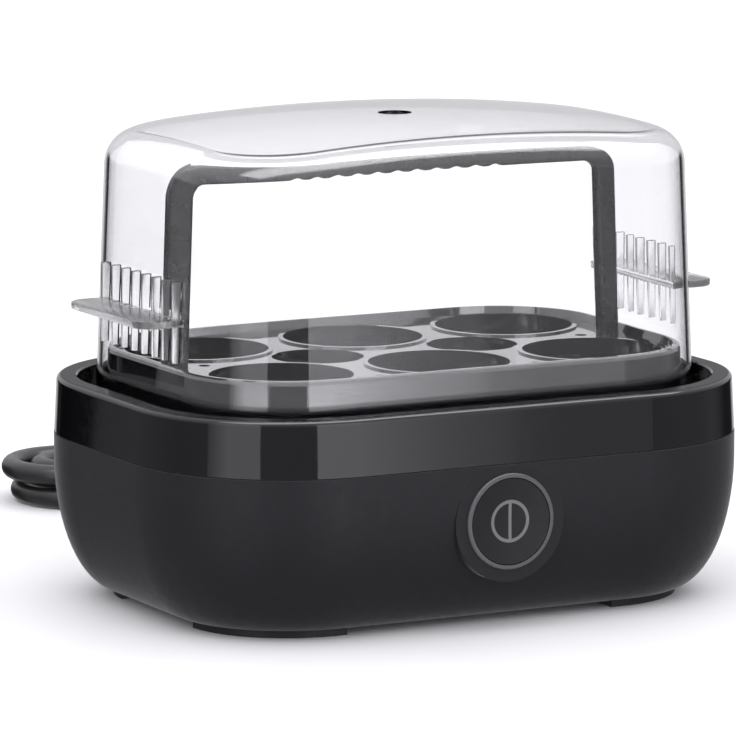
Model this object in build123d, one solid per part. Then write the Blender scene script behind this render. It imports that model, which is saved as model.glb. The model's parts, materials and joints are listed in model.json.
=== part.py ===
from build123d import *
import math
import os

# Egg cooker. Millimetres, +X along the long side, front at -Y, +Z up, origin on the table under the middle.

# Casing outline
BODY_LENGTH = 184.0
BODY_DEPTH = 136.5
CORNER_RADIUS = 46.5
FOOT_HEIGHT = 2.5
WALL = 2.2
BELLY_HEIGHT = 40.0
BELLY_DROP = 38.0
BELLY_INSET = 17.0
SEAM_HEIGHT = 47.2
SEAM_GAP = 0.4
RIM_HEIGHT = 63.0
RIM_INSET = 0.8
RIM_WIDTH = 6.0
RIM_ROUND = 1.5
TONGUE_HEIGHT = 3.6

# Step inside the rim that the hood and the tray stand on
LEDGE_HEIGHT = 57.0
LEDGE_INSET = 17.4
LEDGE_THICK = 2.2
LIP_HEIGHT = 52.0

# Heating dish; the spots of its clamp's screws are measured in from the casing's ends and sides
DISH_SHEET = 1.0
DISH_FLANGE_INSET = 14.4
DISH_WALL_INSET = 18.6
DISH_FLOOR = 44.0
SEAL_THICK = 1.4
CLAMP_THICK = 1.2
CLAMP_SPOT_X = 44.0
CLAMP_SPOT_Y = 11.25
EAR_RADIUS = 3.6

# Base plate and feet; screws are measured in from the casing's ends and sides
PLATE_INSET = 16.6
PLATE_THICK = 2.0
FLANGE_THICK = 2.2
FLANGE_INSET = 24.0
FOOT_SPAN_X = 50.0
FOOT_SPAN_Y = 45.25
SCREW_X = 30.0
SCREW_Y = 27.25
SCREW_RADIUS = 1.5
SCREW_HEAD = 2.9
SCREW_LENGTH = 10.0
BOSS_RADIUS = 3.6

# Egg tray; the outer drain holes are measured in from the casing's ends and sides
TRAY_INSET = 15.3
TRAY_DRAFT = 0.3
TRAY_TOP = 71.6
TRAY_WEB = 69.3
TRAY_THICK = 1.7
TRAY_RIM = 2.2
EGG_PITCH_X = 49.4
EGG_PITCH_Y = 52.4
EGG_RADIUS = 20.0
EGG_COLLAR = 1.4
COLLAR_DEPTH = 2.4
WEB_WIDTH = 3.4
JUNCTION_REACH = 13.0
DRAIN_RADIUS = 1.7
DRAIN_X = 31.5
DRAIN_Y = 29.65

# Carrying handle; its posts are measured in from the casing's ends
POST_X = 22.5
POST_LEAN = 2.2
HANDLE_TOP = 126.6
HANDLE_WIDE = 6.2
HANDLE_DEEP = 3.8
HANDLE_BEND = 7.0
SCALLOPS = 11
SCALLOP_PITCH = 6.3
SCALLOP_RADIUS = 3.6
SCALLOP_DEPTH = 0.9

# Hood; its lugs reach out from the foot of its wall
HOOD_INSET = 12.0
HOOD_LEAN = 2.9
HOOD_LEAN_HEIGHT = 69.0
HOOD_TOP = 137.3
HOOD_WALL = 1.4
HOOD_DOME = 620.0
HOOD_ROUND = 10.0
VENT_RADIUS = 4.8
LUG_HEIGHT = 85.7
LUG_THICK = 2.0
LUG_HALF = 25.0
LUG_REACH = 11.7
LUG_ROUND = 6.0
GRIP_RIBS = 8
GRIP_PITCH = 6.5
GRIP_RIB_THICK = 1.3
GRIP_RIB_DEPTH = 2.2
GRIP_ROOT = 1.9
GRIP_LOW = 74.5
GRIP_HIGH = 97.0

# Push button on its flat round pad, which stands out from the casing's front
BUTTON_HEIGHT = 31.0
PAD_FACE = 0.05
PAD_RADIUS = 17.0
PAD_WALL = 2.2
PAD_THICK = 2.6
PAD_DEPTH = 8.0
RING_RADIUS = 13.5
RING_WIDTH = 1.2
RING_PROUD = 0.7
RING_FLANGE = 14.5
RING_BACK = 4.2
RING_GAP = 0.05
CAP_GAP = 0.25
CAP_PROUD = 0.5
CAP_THICK = 2.2
CAP_SKIRT = 1.5
CAP_FLANGE = 13.2
CAP_DISH = 0.6
BUTTON_TRAVEL = 1.6
MARK_RADIUS = 5.5
MARK_LINE = 0.95
MARK_DEPTH = 0.5
STEM_RADIUS = 3.0
STEM_GAP = 0.05

# Control board, measured back from the casing's front
BOARD_Y = 21.25
BOARD_THICK = 1.6
BOARD_LENGTH = 62.0
BOARD_LOW = 11.0
BOARD_HIGH = 41.0
SWITCH_DEPTH = 7.0
PLUNGER_RADIUS = 1.7
PLUNGER_GAP = 0.1
PLUNGER_OUT = 2.4
PLUNGER_IN = 2.2

# Mains lead; its exit is measured in from the casing's end and back, its saddle and shelf from the exit
CORD_RADIUS = 3.2
CORD_X = 46.0
CORD_HEIGHT = 16.0
EXIT_FACE = 0.65
EXIT_DEPTH = 10.6
EXIT_PAD_RADIUS = 9.5
RELIEF_NECK = 6.2
RELIEF_FLANGE = 8.4
RELIEF_END = 28.4
SADDLE_Y = 19.0
SHELF_Y = 27.0
LEAD_RADIUS = 1.0

# Folded lead: loops in two layers behind the casing, drawn in at the waist by a tie
REST_GAP = 0.05
HANK_X = 6.0
HANK_Y = 175.0
LAYER_STEP = 7.1
WAIST_IN = 3.5
WAIST_OUT = 12.5
FOLD_IN = 9.6
FOLD_OUT = 18.6
FOLD_WIDE = 11.0
FOLD_LEAD = 21.0
LEFT_ENDS = (42.0, 33.6, 35.8, 44.6)
RIGHT_ENDS = (42.0, 31.6, 42.8)
TIE_WIDTH = 5.0
TIE_THICK = 0.8
TIE_GAP = 0.15

# Plug
PLUG_X = 73.2
PLUG_HEIGHT = 18.5
PLUG_RADIUS = 18.4
PLUG_BACK = 150.0
PLUG_FACE = 104.0
PIN_RADIUS = 2.4
PIN_LENGTH = 19.0
PIN_PITCH = 19.0


def outline(inset):
    """The casing's outline, drawn in by inset."""
    return RectangleRounded(
        BODY_LENGTH - 2 * inset, BODY_DEPTH - 2 * inset, CORNER_RADIUS - inset
    )


def prism(inset, low, high):
    return extrude(Pos(0, 0, low) * outline(inset), high - low)


def swept_round(face):
    """A wall that follows the outline. face has X as the distance from the corner's centre."""
    half_x = BODY_LENGTH / 2 - CORNER_RADIUS
    half_y = BODY_DEPTH / 2 - CORNER_RADIUS
    corner = revolve(face, Axis.Z, 90)
    end = extrude(face, half_y, both=True)
    side = extrude(face, half_x, both=True)
    walls = [
        Pos(half_x, 0) * end,
        Pos(-half_x, 0) * Rot(0, 0, 180) * end,
        Pos(0, half_y) * Rot(0, 0, 90) * side,
        Pos(0, -half_y) * Rot(0, 0, -90) * side,
        Pos(half_x, half_y) * corner,
        Pos(-half_x, half_y) * Rot(0, 0, 90) * corner,
        Pos(-half_x, -half_y) * Rot(0, 0, 180) * corner,
        Pos(half_x, -half_y) * Rot(0, 0, 270) * corner,
    ]
    return walls[0].fuse(*walls[1:])


def at(inset, height):
    """A point of a wall's section."""
    return (CORNER_RADIUS - inset, height)


def polygon(*points):
    return make_face(Plane.XZ * Polyline(*points, close=True))


def tube(path, radius):
    """A round bar along a path."""
    start = path @ 0
    disc = Plane(start, z_dir=path % 0) * Circle(radius)
    return sweep(disc, path)


def screw(length, radius, head):
    """A pan head screw, its head's underside at 0, pointing up."""
    shank = Cylinder(radius, length, align=(Align.CENTER, Align.CENTER, Align.MIN))
    cap = Cylinder(head, 1.8, align=(Align.CENTER, Align.CENTER, Align.MAX))
    cross = Box(0.8, head * 1.3, 0.8) + Box(head * 1.3, 0.8, 0.8)
    return shank + cap - Pos(0, 0, -1.8) * cross


def biarc(p0, t0, p1, t1):
    """Two arcs that leave p0 along t0 and reach p1 along t1."""
    p0, t0, p1, t1 = Vector(*p0), Vector(*t0), Vector(*p1), Vector(*t1)
    t0, t1 = t0.normalized(), t1.normalized()
    gap = p1 - p0
    along = gap.dot(t0 + t1)
    spread = 2 * (1 - t0.dot(t1))
    if spread < 1e-9:
        reach = gap.dot(gap) / (4 * gap.dot(t1))
    else:
        reach = (math.sqrt(along * along + spread * gap.dot(gap)) - along) / spread
    middle = (p0 + p1 + (t0 - t1) * reach) * 0.5
    return [arc_from(p0, t0, middle), arc_from(p1, t1 * -1, middle, True)]


def arc_from(start, tangent, end, turned=False):
    """An arc of under a half turn from start along tangent to end, or run the other way."""
    chord = end - start
    side = chord - tangent * chord.dot(tangent)
    if side.length < 1e-6:
        return Line(end, start) if turned else Line(start, end)
    radius = chord.dot(chord) / (2 * side.length)
    centre = start + side.normalized() * radius
    middle = centre + ((start + end) * 0.5 - centre).normalized() * radius
    return ThreePointArc(end, middle, start) if turned else ThreePointArc(start, middle, end)


def cord_path(points):
    """Straight runs joined by arcs, each as large as its two runs allow."""
    places = [Vector(*point) for point in points]
    radii = []
    for before, here, after in zip(places, places[1:], places[2:]):
        turn = math.radians((here - before).get_angle(after - here))
        run = min((here - before).length, (after - here).length)
        radii.append(0.45 * run / math.tan(turn / 2))
    print("cord arcs", [round(radius, 1) for radius in radii])
    return FilletPolyline(*places, radius=radii)


# Lower casing
belly_centre = at(BELLY_INSET, BELLY_HEIGHT)


def belly(inset, low):
    """The casing's side from low up to the belly, as an arc of an ellipse, inset by the wall."""
    across = BELLY_INSET - inset
    down = BELLY_DROP - inset
    angle = -math.degrees(math.asin((BELLY_HEIGHT - low) / down))
    return EllipticalCenterArc(belly_centre, across, down, start_angle=angle, arc_size=-angle)


def belly_inset(inset, height):
    """How far in the casing's side is at a height."""
    across = BELLY_INSET - inset
    down = BELLY_DROP - inset
    reach = min(1.0, max(0.0, BELLY_HEIGHT - height) / down)
    return BELLY_INSET - across * math.sqrt(1 - reach * reach)


flange_low = FOOT_HEIGHT + PLATE_THICK
flange_high = flange_low + FLANGE_THICK
casing_top = SEAM_HEIGHT - SEAM_GAP
tongue_top = SEAM_HEIGHT + TONGUE_HEIGHT
outer_side = belly(0, FOOT_HEIGHT)
inner_side = belly(WALL, flange_high)
tongue_out = WALL + 0.5
tongue_in = tongue_out + 1.6
casing_section = make_face(
    Curve()
    + [
        Plane.XZ * outer_side,
        Plane.XZ
        * Polyline(
            at(0, BELLY_HEIGHT),
            at(0, casing_top),
            at(tongue_out, casing_top),
            at(tongue_out, tongue_top),
            at(tongue_in, tongue_top),
            at(tongue_in, casing_top - 3.0),
            at(WALL, casing_top - 5.0),
            at(WALL, BELLY_HEIGHT),
        ),
        Plane.XZ * inner_side,
        Plane.XZ
        * Polyline(
            inner_side @ 0,
            at(FLANGE_INSET, flange_high),
            at(FLANGE_INSET, flange_low),
            at(PLATE_INSET - 0.3, flange_low),
            at(PLATE_INSET - 0.3, FOOT_HEIGHT),
            outer_side @ 0,
        ),
    ]
)
base_casing = swept_round(casing_section)

screw_x = BODY_LENGTH / 2 - SCREW_X
screw_y = BODY_DEPTH / 2 - SCREW_Y
screw_spots = [(x, y) for x in (-screw_x, screw_x) for y in (-screw_y, screw_y)]
for x, y in screw_spots:
    base_casing += Pos(x, y, flange_high) * Cylinder(
        BOSS_RADIUS, 8.0, align=(Align.CENTER, Align.CENTER, Align.MIN)
    )
    base_casing -= Pos(x, y, flange_low) * Cylinder(
        SCREW_RADIUS + 0.05, 9.6, align=(Align.CENTER, Align.CENTER, Align.MIN)
    )

# Flat pad on the front with the button's hole, and the hole for the lead
pad_y = BODY_DEPTH / 2 + PAD_FACE
cord_x = BODY_LENGTH / 2 - CORD_X
front = Pos(0, -pad_y, BUTTON_HEIGHT) * Rot(90, 0, 0)
rear_exit = Pos(cord_x, 0, CORD_HEIGHT) * Rot(-90, 0, 0)


def front_disc(radius, low, high):
    """A round piece on the button's axis, measured outwards from the pad's face."""
    return front * Pos(0, 0, low) * Cylinder(
        radius, high - low, align=(Align.CENTER, Align.CENTER, Align.MIN)
    )


pad = front_disc(PAD_RADIUS, -PAD_DEPTH, 0)
pad &= Pos(0, 0, casing_top) * Box(400, 400, 100, align=(Align.CENTER, Align.CENTER, Align.MAX))
base_casing += pad
base_casing -= front_disc(PAD_RADIUS - PAD_WALL, -PAD_DEPTH - 3, -PAD_THICK) & (
    Pos(0, 0, casing_top - 1.2) * Box(400, 400, 100, align=(Align.CENTER, Align.CENTER, Align.MAX))
)
base_casing -= front_disc(RING_RADIUS + RING_GAP, -20, 20)
exit_face = BODY_DEPTH / 2 - EXIT_FACE
exit_inside = exit_face - EXIT_DEPTH
relief_end = exit_face + RELIEF_END
saddle_y = exit_inside - SADDLE_Y
shelf_y = exit_inside - SHELF_Y
exit_pad = rear_exit * Pos(0, 0, exit_inside) * Cylinder(
    EXIT_PAD_RADIUS, EXIT_DEPTH, align=(Align.CENTER, Align.CENTER, Align.MIN)
)
base_casing += exit_pad
base_casing -= rear_exit * Pos(0, 0, exit_inside - 2) * Cylinder(
    RELIEF_NECK + 0.05, 20, align=(Align.CENTER, Align.CENTER, Align.MIN)
)

# Two posts for the control board
board_y = BOARD_Y - BODY_DEPTH / 2
board_posts = []
for x in (-24, 24):
    post = Pos(x, board_y - 4.2, flange_high) * Box(
        5, 8.0, BOARD_LOW + 6 - flange_high, align=(Align.CENTER, Align.CENTER, Align.MIN)
    )
    slot = Pos(x, board_y, BOARD_LOW - 0.05) * Box(
        6, BOARD_THICK + 0.3, 20, align=(Align.CENTER, Align.CENTER, Align.MIN)
    )
    shelf = Pos(x, board_y + 0.6, flange_low) * Box(
        5, 4.4, BOARD_LOW + 6 - flange_low, align=(Align.CENTER, Align.CENTER, Align.MIN)
    )
    board_posts.append(post + shelf - slot)
base_casing = base_casing.fuse(*board_posts)

# Gloss band with the rim
rim_in = RIM_INSET + RIM_WIDTH
top_low = RIM_HEIGHT - RIM_ROUND
corner_mid = RIM_ROUND * (1 - math.sqrt(0.5))
band_section = make_face(
    Curve()
    + [
        Plane.XZ * Line(at(0.1, SEAM_HEIGHT), at(RIM_INSET, top_low)),
        Plane.XZ
        * ThreePointArc(
            at(RIM_INSET, top_low),
            at(RIM_INSET + corner_mid, RIM_HEIGHT - corner_mid),
            at(RIM_INSET + RIM_ROUND, RIM_HEIGHT),
        ),
        Plane.XZ
        * Polyline(
            at(RIM_INSET + RIM_ROUND, RIM_HEIGHT),
            at(rim_in - 0.5, RIM_HEIGHT),
            at(rim_in, RIM_HEIGHT - 0.5),
            at(rim_in, LEDGE_HEIGHT),
            at(LEDGE_INSET, LEDGE_HEIGHT),
            at(LEDGE_INSET, LIP_HEIGHT),
            at(LEDGE_INSET - 1.8, LIP_HEIGHT),
            at(LEDGE_INSET - 1.8, LEDGE_HEIGHT - LEDGE_THICK),
            at(rim_in - 2.0, LEDGE_HEIGHT - LEDGE_THICK),
            at(rim_in - 2.0, RIM_HEIGHT - WALL),
            at(RIM_INSET + WALL, RIM_HEIGHT - WALL),
            at(WALL + 0.1, SEAM_HEIGHT),
            at(0.1, SEAM_HEIGHT),
        ),
    ]
)
trim_band = swept_round(band_section)
clamp_top = LIP_HEIGHT - SEAL_THICK - DISH_SHEET
clamp_x = BODY_LENGTH / 2 - CLAMP_SPOT_X
clamp_y = BODY_DEPTH / 2 - CLAMP_SPOT_Y
clamp_spots = [(x, y) for x in (-clamp_x, clamp_x) for y in (-clamp_y, clamp_y)]
for x, y in clamp_spots:
    trim_band += Pos(x, y, clamp_top) * Cylinder(
        3.0, LEDGE_HEIGHT - LEDGE_THICK - clamp_top, align=(Align.CENTER, Align.CENTER, Align.MIN)
    )
    trim_band -= Pos(x, y, clamp_top) * Cylinder(
        1.3, 4.6, align=(Align.CENTER, Align.CENTER, Align.MIN)
    )

# Base plate with its four corner feet
plate_low = FOOT_HEIGHT
base_plate = prism(PLATE_INSET, plate_low, plate_low + PLATE_THICK)
foot_block = prism(PLATE_INSET, 0, FOOT_HEIGHT)
for sx in (-1, 1):
    for sy in (-1, 1):
        corner_box = Pos(sx * BODY_LENGTH / 2, sy * BODY_DEPTH / 2, FOOT_HEIGHT / 2) * Box(
            2 * FOOT_SPAN_X, 2 * FOOT_SPAN_Y, FOOT_HEIGHT
        )
        base_plate += foot_block & corner_box
for x, y in screw_spots:
    base_plate -= Pos(x, y, 0) * Cylinder(
        SCREW_HEAD + 0.3, 3.0, align=(Align.CENTER, Align.CENTER, Align.MIN)
    )
    base_plate -= Pos(x, y, 0) * Cylinder(SCREW_RADIUS + 0.2, 20)
slots = [
    Pos(x, y, plate_low + 1) * Rot(0, 0, 90) * extrude(SlotOverall(14, 2.4), 4, both=True)
    for x in range(-28, 29, 7)
    for y in (-22, 0, 22)
]
base_plate = base_plate.cut(*slots)

# Saddle for the lead and shelf for the terminal block, on the base plate
plate_top = plate_low + PLATE_THICK
base_plate += Pos(cord_x, saddle_y, plate_top) * Box(
    23, 5, CORD_HEIGHT - 0.5 - plate_top, align=(Align.CENTER, Align.CENTER, Align.MIN)
)
base_plate -= Pos(cord_x, saddle_y, CORD_HEIGHT) * Rot(90, 0, 0) * Cylinder(CORD_RADIUS, 20)
base_plate += Pos(cord_x, shelf_y, plate_top) * Box(
    23, 8, 3, align=(Align.CENTER, Align.CENTER, Align.MIN)
)

# Heating dish, pressed from sheet
flange_top = LIP_HEIGHT - SEAL_THICK
dish_section = polygon(
    at(DISH_FLANGE_INSET, flange_top),
    at(DISH_WALL_INSET - 0.4, flange_top),
    at(DISH_WALL_INSET + DISH_SHEET, flange_top - 1.2),
    at(DISH_WALL_INSET + DISH_SHEET, DISH_FLOOR + 2.0),
    at(DISH_WALL_INSET + DISH_SHEET + 2.0, DISH_FLOOR),
    at(CORNER_RADIUS - 0.01, DISH_FLOOR),
    at(CORNER_RADIUS - 0.01, DISH_FLOOR - DISH_SHEET),
    at(DISH_WALL_INSET + 1.6, DISH_FLOOR - DISH_SHEET),
    at(DISH_WALL_INSET, DISH_FLOOR + 0.6),
    at(DISH_WALL_INSET, flange_top - DISH_SHEET),
    at(DISH_FLANGE_INSET, flange_top - DISH_SHEET),
)
dish_floor = prism(CORNER_RADIUS - 4, DISH_FLOOR - DISH_SHEET, DISH_FLOOR)
heating_dish = swept_round(dish_section) + dish_floor
seal_section = polygon(
    at(DISH_FLANGE_INSET + 0.2, flange_top),
    at(LEDGE_INSET, flange_top),
    at(LEDGE_INSET, LIP_HEIGHT),
    at(DISH_FLANGE_INSET + 0.2, LIP_HEIGHT),
)
dish_seal = swept_round(seal_section)

# Clamp ring under the dish's flange, with an ear for each screw
clamp_base = flange_top - DISH_SHEET - CLAMP_THICK
dish_clamp = prism(DISH_FLANGE_INSET - 1.0, clamp_base, clamp_base + CLAMP_THICK)
dish_clamp -= prism(DISH_WALL_INSET - 0.6, clamp_base - 1, clamp_base + CLAMP_THICK + 1)
for x, y in clamp_spots:
    inner = math.copysign(abs(y) - 6, y)
    dish_clamp += Pos(x, y, clamp_base + CLAMP_THICK / 2) * Cylinder(EAR_RADIUS, CLAMP_THICK)
    dish_clamp += Pos(x, (y + inner) / 2, clamp_base + CLAMP_THICK / 2) * Box(
        2 * EAR_RADIUS, 6, CLAMP_THICK
    )
    dish_clamp -= Pos(x, y, clamp_base) * Cylinder(1.5, 8)

# Heating element under the dish floor: a sheathed loop, open at the back
element_z = DISH_FLOOR - DISH_SHEET - 3.3
element_path = FilletPolyline(
    (9, 24, element_z),
    (46, 24, element_z),
    (46, -24, element_z),
    (-46, -24, element_z),
    (-46, 24, element_z),
    (-9, 24, element_z),
    radius=16,
)
heating_element = tube(element_path, 3.3)
element_pins = []
for side in (-1, 1):
    pin = Pos(side * 6.0, 24, element_z) * Rot(0, 90, 0) * Cylinder(1.1, 6)
    element_pins.append(pin + Pos(side * 3.4, 24, element_z - 3.5) * Box(0.8, 5, 11))

# Thermostat, its strap, and the thermal fuse
thermostat_top = DISH_FLOOR - DISH_SHEET
thermostat = Pos(0, 0, thermostat_top) * Cylinder(
    8.5, 3.0, align=(Align.CENTER, Align.CENTER, Align.MAX)
)
thermostat += Pos(0, 0, thermostat_top - 3.0) * Cylinder(
    7.2, 7.0, align=(Align.CENTER, Align.CENTER, Align.MAX)
)
for x in (-3.5, 3.5):
    thermostat += Pos(x, -7.6, thermostat_top - 7.5) * Box(3, 8, 0.8)
strap_low = thermostat_top - 10.0
strap_points = [
    (-26, thermostat_top),
    (-26, thermostat_top - 0.8),
    (-17, thermostat_top - 0.8),
    (-13, strap_low - 0.8),
    (13, strap_low - 0.8),
    (17, thermostat_top - 0.8),
    (26, thermostat_top - 0.8),
    (26, thermostat_top),
    (16.4, thermostat_top),
    (12.4, strap_low),
    (-12.4, strap_low),
    (-16.4, thermostat_top),
]
thermostat_strap = extrude(polygon(*strap_points), 3.5, both=True)
thermal_fuse = Pos(0, 14, thermostat_top - 2.2) * Rot(0, 90, 0) * Cylinder(2.2, 20)
for x in (-14, 14):
    thermal_fuse += Pos(x, 14, thermostat_top - 2.2) * Rot(0, 90, 0) * Cylinder(0.6, 8)

# Control board and what it carries
board_mid = (BOARD_LOW + BOARD_HIGH) / 2
control_board = Pos(0, board_y, board_mid) * Box(BOARD_LENGTH, BOARD_THICK, BOARD_HIGH - BOARD_LOW)
board_front = board_y - BOARD_THICK / 2
board_rear = board_y + BOARD_THICK / 2
switch_front = board_front - SWITCH_DEPTH
push_switch = Pos(0, board_front - SWITCH_DEPTH / 2, BUTTON_HEIGHT) * Box(12, SWITCH_DEPTH, 12)
plunger_axis = Pos(0, switch_front, BUTTON_HEIGHT) * Rot(90, 0, 0)
push_switch -= plunger_axis * Cylinder(
    PLUNGER_RADIUS + PLUNGER_GAP, 2 * (PLUNGER_IN + BUTTON_TRAVEL + 0.4)
)
switch_plunger = plunger_axis * Pos(0, 0, -PLUNGER_IN) * Cylinder(
    PLUNGER_RADIUS, PLUNGER_IN + PLUNGER_OUT, align=(Align.CENTER, Align.CENTER, Align.MIN)
)
relay = Pos(-17, board_rear + 7.5, 26.2) * Box(19, 15, 15.5)
relay = chamfer(relay.edges().group_by(Axis.Y)[-1], 0.8)
capacitor = Pos(8, board_rear, 19) * Rot(-90, 0, 0) * Cylinder(
    5.0, 13, align=(Align.CENTER, Align.CENTER, Align.MIN)
)
capacitor = fillet(capacitor.edges().group_by(Axis.Y)[-1], 0.8)
buzzer = Pos(22, board_rear, 30) * Rot(-90, 0, 0) * Cylinder(
    6.0, 8, align=(Align.CENTER, Align.CENTER, Align.MIN)
)
buzzer -= Pos(22, board_rear + 8, 30) * Rot(-90, 0, 0) * Cylinder(1.2, 3)
indicator_lamp = Pos(12.6, board_front, BUTTON_HEIGHT) * Rot(90, 0, 0) * (
    Cylinder(1.5, 5.5, align=(Align.CENTER, Align.CENTER, Align.MIN)) + Pos(0, 0, 5.5) * Sphere(1.5)
)

# Push button, its ring, mark and spring
ring_in = RING_RADIUS - RING_WIDTH
light_ring = front_disc(RING_RADIUS, -RING_BACK, RING_PROUD)
light_ring = fillet(light_ring.edges().group_by(Axis.Y)[0], 0.4)
light_ring += front_disc(RING_FLANGE, -RING_BACK, -PAD_THICK)
light_ring -= front_disc(ring_in, -20, 20)
cap_radius = ring_in - CAP_GAP
skirt_end = -RING_BACK - 1.5
button = front_disc(cap_radius, skirt_end, CAP_PROUD)
button += front_disc(CAP_FLANGE, skirt_end, -RING_BACK - 0.2)
button -= front_disc(cap_radius - CAP_SKIRT, skirt_end - 1, CAP_PROUD - CAP_THICK)
dish_radius = cap_radius**2 / (2 * CAP_DISH)
hollow = front * Pos(0, 0, CAP_PROUD + dish_radius - CAP_DISH) * Sphere(dish_radius)
button -= hollow
stem_end = -(pad_y + switch_front) + PLUNGER_OUT + STEM_GAP
button += front_disc(STEM_RADIUS, stem_end, CAP_PROUD - CAP_THICK + 0.2)
mark_disc = front_disc(MARK_RADIUS + MARK_LINE / 2, -1, 2)
mark_disc -= front_disc(MARK_RADIUS - MARK_LINE / 2, -2, 3)
mark_disc += front * Pos(0, 0, 0.5) * Box(MARK_LINE, 2 * MARK_RADIUS - 0.2, 3)
button_mark = (mark_disc & button) - Pos(0, MARK_DEPTH, 0) * button
button -= mark_disc & button - Pos(0, MARK_DEPTH, 0) * button
spring_turns = 5
spring_wire = 0.35
spring_mean = 4.4
spring_low = -(pad_y + switch_front) + spring_wire + 0.05
spring_high = CAP_PROUD - CAP_THICK - BUTTON_TRAVEL - spring_wire - 0.1
spring_room = spring_high - spring_low
coil = Helix(pitch=spring_room / spring_turns, height=spring_room, radius=spring_mean)
spring_disc = Plane(coil @ 0, z_dir=coil % 0) * Circle(spring_wire)
button_spring = front * Pos(0, 0, spring_low) * sweep(spring_disc, coil)

# Terminal block, and the clamp that holds the lead on its saddle
shelf_top = plate_top + 3
terminal_block = Pos(cord_x, shelf_y, shelf_top) * Box(
    22, 7, 11, align=(Align.CENTER, Align.CENTER, Align.MIN)
)
for x in (-7, 0, 7):
    terminal_block -= Pos(cord_x + x, shelf_y, shelf_top + 11) * Cylinder(2.0, 6)
cord_clamp = Pos(cord_x, saddle_y, CORD_HEIGHT + 0.5) * Box(
    22, 5, 5.5, align=(Align.CENTER, Align.CENTER, Align.MIN)
)
cord_clamp -= Pos(cord_x, saddle_y, CORD_HEIGHT) * Rot(90, 0, 0) * Cylinder(CORD_RADIUS, 20)
clamp_screws = []
for x in (-7.6, 7.6):
    spot = Pos(cord_x + x, saddle_y, CORD_HEIGHT + 6.0)
    shaft = spot * Cylinder(1.3, 9.1, align=(Align.CENTER, Align.CENTER, Align.MAX))
    cord_clamp -= spot * Cylinder(1.4, 20)
    base_plate -= spot * Cylinder(1.3, 9.2, align=(Align.CENTER, Align.CENTER, Align.MAX))
    clamp_screws.append(spot * Rot(180, 0, 0) * screw(9.0, 1.25, 2.3))
relief_inside = exit_inside - 2.5
sheath_start = saddle_y - 3.5
inner_sheath = Pos(cord_x, sheath_start, CORD_HEIGHT) * Rot(-90, 0, 0) * Cylinder(
    CORD_RADIUS,
    relief_inside + 1.0 - sheath_start,
    align=(Align.CENTER, Align.CENTER, Align.MIN),
)

# Inner leads, from the terminal block to the board, the element and the earth point of the dish
lead_z = shelf_top + 6.0
lead_y = shelf_y - 3.5
lead_routes = {
    "lead_live": [(cord_x - 7, lead_y), (cord_x - 7, 14), (-3, -20), (-3, board_rear)],
    "lead_neutral": [(cord_x, lead_y), (cord_x, 6), (16, -24), (16, board_rear)],
}
leads = {
    name: tube(FilletPolyline(*[(x, y, lead_z) for x, y in route], radius=6), LEAD_RADIUS)
    for name, route in lead_routes.items()
}
earth_x = cord_x + 7
leads["lead_earth"] = tube(
    FilletPolyline(
        (earth_x, lead_y, lead_z), (earth_x, 0, lead_z), (earth_x, 0, DISH_FLOOR - DISH_SHEET), radius=6
    ),
    LEAD_RADIUS,
)
pin_low = element_z - 9.0
leads["lead_element"] = tube(
    FilletPolyline((-3.4, 24, pin_low), (-3.4, 24, 22), (-3.4, board_rear, 22), radius=5),
    LEAD_RADIUS,
)
leads["lead_thermostat"] = tube(
    FilletPolyline(
        (3.4, 24, pin_low),
        (3.4, 24, 25),
        (3.4, -19, 25),
        (3.4, -19, thermostat_top - 7.5),
        (3.4, -11.6, thermostat_top - 7.5),
        radius=3,
    ),
    LEAD_RADIUS,
)

# Strain relief: a flange inside, a collar outside and a tapered sleeve
relief = rear_exit * revolve(
    make_face(
        Plane.XZ
        * Polyline(
            (0, relief_inside),
            (RELIEF_FLANGE, relief_inside),
            (RELIEF_FLANGE, exit_inside),
            (RELIEF_NECK, exit_inside),
            (RELIEF_NECK, exit_face),
            (8.0, exit_face),
            (8.0, exit_face + 2.0),
            (6.2, exit_face + 3.0),
            (4.4, relief_end),
            (0, relief_end),
            close=True,
        )
    ),
    Axis.Z,
)
relief -= rear_exit * Pos(0, 0, relief_inside - 0.1) * Cylinder(
    CORD_RADIUS, 1.1, align=(Align.CENTER, Align.CENTER, Align.MIN)
)
for step in range(4):
    relief -= rear_exit * Pos(0, 0, exit_face + 5.4 + 5 * step) * (Cylinder(12, 1.6) - Cylinder(3.9, 3))

# Egg tray
tray_high = TRAY_INSET + TRAY_DRAFT
tray_section = polygon(
    at(TRAY_INSET, LEDGE_HEIGHT),
    at(tray_high, TRAY_TOP - 1.2),
    at(tray_high + 0.35, TRAY_TOP - 0.35),
    at(tray_high + 1.2, TRAY_TOP),
    at(tray_high + TRAY_RIM, TRAY_TOP),
    at(tray_high + TRAY_RIM + 0.5, TRAY_WEB),
    at(tray_high + TRAY_RIM + 3.0, TRAY_WEB),
    at(tray_high + TRAY_RIM + 3.0, TRAY_WEB - TRAY_THICK),
    at(tray_high + TRAY_THICK, TRAY_WEB - TRAY_THICK),
    at(TRAY_INSET + TRAY_THICK, LEDGE_HEIGHT),
)
egg_tray = swept_round(tray_section)
egg_tray += prism(tray_high + TRAY_RIM + 2.0, TRAY_WEB - TRAY_THICK, TRAY_WEB)
egg_spots = [
    (x * EGG_PITCH_X, y * EGG_PITCH_Y / 2) for y in (-1, 1) for x in (-1, 0, 1)
]
collar_low = TRAY_WEB - TRAY_THICK - COLLAR_DEPTH
for x, y in egg_spots:
    egg_tray += Pos(x, y, collar_low) * Cylinder(
        EGG_RADIUS + EGG_COLLAR,
        TRAY_WEB + 0.5 - collar_low,
        align=(Align.CENTER, Align.CENTER, Align.MIN),
    )
post_x = BODY_LENGTH / 2 - POST_X
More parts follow.
